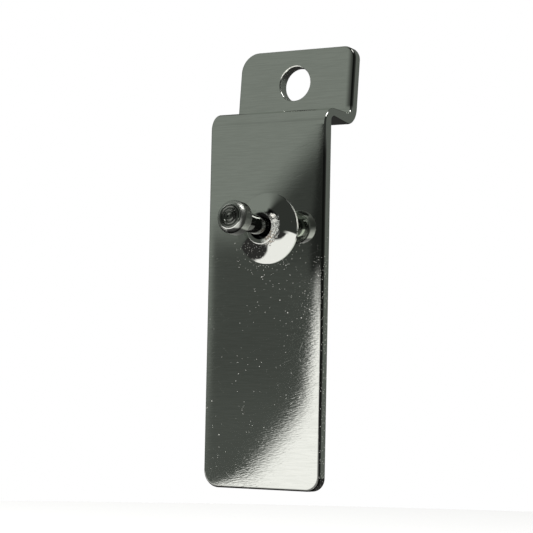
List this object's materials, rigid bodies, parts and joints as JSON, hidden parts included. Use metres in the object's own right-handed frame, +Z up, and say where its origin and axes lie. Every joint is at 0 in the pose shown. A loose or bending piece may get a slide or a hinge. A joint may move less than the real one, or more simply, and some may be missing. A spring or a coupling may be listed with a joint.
{
  "type": "slatwall hook",
  "caption": "Folded steel hook plate that hangs in a slatwall groove, with a knobbed stud and flared collar standing on its front.",
  "frame": {"origin": "the middle of the long plate's flat back face, half way between its bottom edge and the top of the folded shoulder", "axes": "+X across the strip, -Y straight out of the long plate's front face, +Z up the plate towards the tab"},
  "size_m": [0.0254, 0.0257, 0.0836],
  "materials": {
    "plate_chrome": "bright chrome plate with faint polishing lines",
    "stud_chrome": "bright chrome plate over turned steel",
    "collar_chrome": "bright chrome plate over turned steel"
  },
  "bodies": {
    "root": {"hook_plate": "plate_chrome", "knob_stud": "stud_chrome", "flared_collar": "collar_chrome"}
  },
  "joints": []
}
